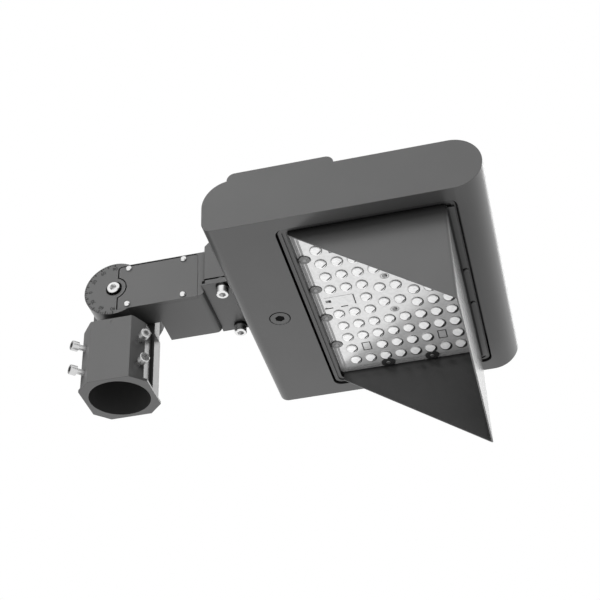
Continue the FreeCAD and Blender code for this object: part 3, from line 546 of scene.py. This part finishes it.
# Connector's clear cover, nearly flush with the field: painted shade as dark strips along it, the lead's end in
# its face
connector_low, connector_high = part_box("board_connector")
COVER_PROUD = 0.4 * MM
COVER_END = 1.8 * MM
COVER_SUNK = 0.3 * MM
COVER_SHADE_STRIPS = (
    (-2.6, 5.8, 17.2, 18.6),
    (14.1, 21.2, 17.2, 18.6),
    (29.4, 30.3, 0.5, 16.5),
    (3.4, 6.0, 4.0, 8.4),
)
COVER_LEAD = (0.4, 3.3, 4.0, 7.9)
LEAD_PROUD = 0.04 * MM


def by_connector(x0, x1, y0, y1, proud):
    """Thin plate over the field, placed in mm from the connector's near left corner."""
    low = (connector_low[0] + x0 * MM, connector_low[1] + y0 * MM, field_z - proud)
    high = (connector_low[0] + x1 * MM, connector_low[1] + y1 * MM, field_z + COVER_SUNK)
    return block(low, high)


cover_low = (connector_low[0], connector_low[1], field_z - COVER_PROUD)
cover_high = (connector_high[0] - COVER_END, connector_high[1], field_z + COVER_SUNK)
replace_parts(piece("connector_cover", *block(cover_low, cover_high), lens_plate_white), "board_connector")
# Painted shade: dark strips where shade falls along the cover
gaps = [by_connector(*span, COVER_PROUD + HAIR) for span in COVER_SHADE_STRIPS]
piece("connector_shade_strips", *together(gaps), print_and_shade_black)
piece("connector_lead", *by_connector(*COVER_LEAD, COVER_PROUD + LEAD_PROUD), lens_boss_grey)

# Painted shade: a dark strip at the foot of the glare shield's front, where it enters the bezel
SHIELD_FLANGE = 7.0 * MM
SHIELD_SHEET = 1.5 * MM
FOOT_SHADE_WIDTH = 1.7 * MM
FOOT_IN = 0.1 * MM
FOOT_END = 4 * MM
shield_low, shield_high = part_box("visor")
foot_x = shield_high[0] - SHIELD_FLANGE
foot_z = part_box("lens_frame")[0][2] - SHIELD_SHEET
foot_low = (foot_x - FOOT_IN, shield_low[1] + FOOT_END, foot_z - FOOT_IN)
foot_high = (foot_x + FOOT_SHADE_WIDTH, shield_high[1] - FOOT_END, foot_z + FOOT_IN)
piece("shield_foot_shade", *block(foot_low, foot_high), seal_rubber)

# Socket plug under the head: painted shade of its recess as a dark ring round it, wider on the near side, and
# painted shade as a dark filling in its socket
PLUG_SHADE_RING = (10.3 * MM, 11.1 * MM)
PLUG_SHADE_SHIFT = 0.5 * MM
PLUG_SHADE_SEGMENTS = 48
SOCKET_ACROSS = 9.0 * MM
SOCKET_SPAN = (0.7 * MM, 2.6 * MM)
plug_low, plug_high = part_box("housing_plug")
plug_middle = (Vector(plug_low) + Vector(plug_high)) / 2
plug_middle.z = plug_low[2]
shade_ring = turned(band(*PLUG_SHADE_RING, HAIR), plug_middle, PLUG_SHADE_SEGMENTS, 1.0, True)
shade_ring_points, shade_ring_faces = shade_ring
for k in range(2 * PLUG_SHADE_SEGMENTS):
    x, y, z = shade_ring_points[k]
    shade_ring_points[k] = (x, y + PLUG_SHADE_SHIFT, z)
piece("plug_shade_ring", shade_ring_points, shade_ring_faces, painted_shade_black)
socket_points = []
for deep in SOCKET_SPAN:
    for k in range(6):
        turn = math.radians(60 * k + 30)
        spoke = Vector((math.cos(turn), math.sin(turn), 0)) * SOCKET_ACROSS / math.sqrt(3)
        socket_points.append((plug_middle + spoke + Vector((0, 0, deep))).to_tuple())
socket_faces = [tuple(range(6)), tuple(range(6, 12))]
socket_faces += [(k, (k + 1) % 6, (k + 1) % 6 + 6, k + 6) for k in range(6)]
piece("plug_socket_shade", socket_points, socket_faces, painted_shade_black)

# Painted shade: dark fillings in the notches where the arm's tongue meets the head's neck
NOTCH_X = (98.1 * MM, 101.5 * MM)
NOTCH_Y = (29.0 * MM, 41.7 * MM)
NOTCH_Z = (-20.3 * MM, -16.4 * MM)
notches = []
for y0, y1 in (NOTCH_Y, (-NOTCH_Y[1], -NOTCH_Y[0])):
    low = PIVOT + Vector((NOTCH_X[0], y0, NOTCH_Z[0]))
    high = PIVOT + Vector((NOTCH_X[1], y1, NOTCH_Z[1]))
    notches.append(block(low, high))
piece("tongue_notch_shade", *together(notches), painted_shade_black)


# Scale on the arm's hub: strokes each five degrees, numbers each thirty
SCALE_R = 32.3 * MM
NUMBER_R = 25.6 * MM
NUMBER_H = 5.6 * MM
NUMBER_BOLD = 0.00012
PRINT_T = 0.03 * MM
LONG_STROKE = (3.6 * MM, 0.75 * MM)
SHORT_STROKE = (2.0 * MM, 0.42 * MM)
face_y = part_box("arm_cover")[0][1]


def on_hub(radius, turn):
    """Point on the hub's near face; turn in degrees from the lamp's side, upwards."""
    angle = math.radians(turn)
    return PIVOT + Vector((radius * math.cos(angle), 0, radius * math.sin(angle)))


STROKE_FACES = [(3, 2, 1, 0), (4, 5, 6, 7), (0, 1, 5, 4), (1, 2, 6, 5), (2, 3, 7, 6), (3, 0, 4, 7)]
strokes = []
for turn in range(90, 271, 5):
    length, half = LONG_STROKE if turn % 15 == 0 else SHORT_STROKE
    outer = on_hub(SCALE_R, turn)
    inner = on_hub(SCALE_R - length, turn)
    side = (outer - inner).cross(Vector((0, 1, 0))).normalized() * half
    points = [p.to_tuple() for p in (outer + side, outer - side, inner - side, inner + side)]
    points = [(x, face_y - depth, z) for depth in (PRINT_T, -PRINT_T) for x, y, z in points]
    strokes.append((points, STROKE_FACES))
piece("scale_strokes", *together(strokes), print_and_shade_black)
for turn in range(90, 271, 30):
    words = bpy.data.curves.new("scale_number", "FONT")
    words.body = str(abs(180 - turn))
    words.size = NUMBER_H
    words.align_x = "CENTER"
    words.align_y = "CENTER"
    words.extrude = PRINT_T
    words.offset = NUMBER_BOLD
    number = bpy.data.objects.new("scale_number_" + str(turn), words)
    number.location = on_hub(NUMBER_R, turn)
    number.location.y = face_y
    number.rotation_euler = (math.pi / 2, math.radians(90 - turn), 0)
    scene.collection.objects.link(number)
    words.materials.append(print_and_shade_black)
    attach(number, "lamp")

# Stage, light, camera
FLOOR_Z = -1.3
FLOOR_HALF = 4.0
corners = [(x * FLOOR_HALF, y * FLOOR_HALF, FLOOR_Z) for x, y in ((-1, -1), (1, -1), (1, 1), (-1, 1))]
floor_mesh = bpy.data.meshes.new("floor")
floor_mesh.from_pydata(corners, [], [(0, 1, 2, 3)])
floor = bpy.data.objects.new("floor", floor_mesh)
scene.collection.objects.link(floor)
floor.visible_diffuse = False
floor.visible_glossy = False
floor_pale = plastic("floor_pale", (0.8, 0.8, 0.8), 0.7, 3.0, 0.01)
floor.data.materials.append(floor_pale)
# The camera sees the floor as white as the backdrop
tree = floor_pale.node_tree
white = add(tree, "ShaderNodeEmission", Color=(1, 1, 1, 1), Strength=1.0)
path = tree.nodes.new("ShaderNodeLightPath")
choice = tree.nodes.new("ShaderNodeMixShader")
tree.links.new(path.outputs["Is Camera Ray"], choice.inputs[0])
tree.links.new(tree.nodes["Principled BSDF"].outputs[0], choice.inputs[1])
tree.links.new(white.outputs[0], choice.inputs[2])
tree.links.new(choice.outputs[0], tree.nodes["Material Output"].inputs["Surface"])

AMBIENT = 0.44
world = bpy.data.worlds.new("studio")
scene.world = world
world.use_nodes = True
tree = world.node_tree
background = tree.nodes["Background"]
background.inputs["Color"].default_value = (1, 1, 1, 1)
path = tree.nodes.new("ShaderNodeLightPath")
seen = path.outputs["Is Camera Ray"]
for kind in ("Is Glossy Ray", "Is Transmission Ray"):
    either = tree.nodes.new("ShaderNodeMath")
    either.operation = "MAXIMUM"
    tree.links.new(seen, either.inputs[0])
    tree.links.new(path.outputs[kind], either.inputs[1])
    seen = either.outputs["Value"]
strength = tree.nodes.new("ShaderNodeMapRange")
strength.inputs["To Min"].default_value = AMBIENT
strength.inputs["To Max"].default_value = 1.0
tree.links.new(seen, strength.inputs["Value"])
# A dark flag stands on the socket's side, seen only mirrored in the paint
FLAG = 0.6
FLAG_WAY = Vector((-0.9, 0.0, 0.45)).normalized()
FLAG_EDGE = (0.7, 0.9)
place = tree.nodes.new("ShaderNodeTexCoord")
toward_flag = tree.nodes.new("ShaderNodeVectorMath")
toward_flag.operation = "DOT_PRODUCT"
toward_flag.inputs[1].default_value = FLAG_WAY
tree.links.new(place.outputs["Generated"], toward_flag.inputs[0])
flag = tree.nodes.new("ShaderNodeMapRange")
flag.inputs["From Min"].default_value = FLAG_EDGE[0]
flag.inputs["From Max"].default_value = FLAG_EDGE[1]
flag.inputs["To Max"].default_value = FLAG
tree.links.new(toward_flag.outputs["Value"], flag.inputs["Value"])
flag_share = tree.nodes.new("ShaderNodeMath")
flag_share.operation = "MULTIPLY"
tree.links.new(flag.outputs["Result"], flag_share.inputs[0])
tree.links.new(path.outputs["Is Glossy Ray"], flag_share.inputs[1])
flagged = tree.nodes.new("ShaderNodeMath")
flagged.operation = "SUBTRACT"
tree.links.new(strength.outputs["Result"], flagged.inputs[0])
tree.links.new(flag_share.outputs["Value"], flagged.inputs[1])
tree.links.new(flagged.outputs["Value"], background.inputs["Strength"])

TARGET = Vector((0.2, 0.0, 0.08))


def area(name, way, distance, size, power, mirrored=False):
    """Soft lamp on that way from the object, turned to it; maybe also seen mirrored in the paint."""
    lamp = bpy.data.lights.new(name, "AREA")
    lamp.energy = power
    lamp.size = size
    lamp_object = bpy.data.objects.new(name, lamp)
    lamp_object.location = TARGET + Vector(way).normalized() * distance
    lamp_object.rotation_euler = (-Vector(way)).to_track_quat("-Z", "Y").to_euler()
    lamp_object.visible_camera = False
    lamp_object.visible_glossy = mirrored
    scene.collection.objects.link(lamp_object)


area("key_front", (-0.43, -0.74, 0.5), 3.5, 2.4, 212.0)
area("fill_under", (-0.35, 0.3, -0.9), 1.25, 1.6, 18.6)
area("rim_right", (0.8, 0.25, 0.5), 2.2, 1.2, 100.0)
area("strip_back", (0.3, 0.77, 0.56), 5.0, 1.3, 10.8, True)

# Camera solved from the photograph's straight edges: place, axes, focal length in pixels, optical centre
IMAGE = 600
FOCAL_PX = 1360.0
CENTRE_PX = (296.0, 296.0)
RIGHT = Vector((0.97168954, 0.23429325, -0.03043191))
DOWN = Vector((-0.16358878, 0.5742644, -0.80215903))
FORWARD = Vector((-0.17046449, 0.78442786, 0.59633446))
FROM_PIVOT = Vector((0.42541476, -1.09879994, -0.85859260))

lens_data = bpy.data.cameras.new("photo_camera")
lens_data.sensor_width = 36.0
lens_data.lens = FOCAL_PX / IMAGE * lens_data.sensor_width
lens_data.shift_x = (IMAGE / 2 - CENTRE_PX[0]) / IMAGE
lens_data.shift_y = (CENTRE_PX[1] - IMAGE / 2) / IMAGE
camera = bpy.data.objects.new("photo_camera", lens_data)
turn = Matrix((RIGHT, -DOWN, -FORWARD)).transposed().to_4x4()
camera.matrix_world = Matrix.Translation(PIVOT + FROM_PIVOT) @ turn
scene.collection.objects.link(camera)
scene.camera = camera

scene.view_settings.view_transform = "Standard"
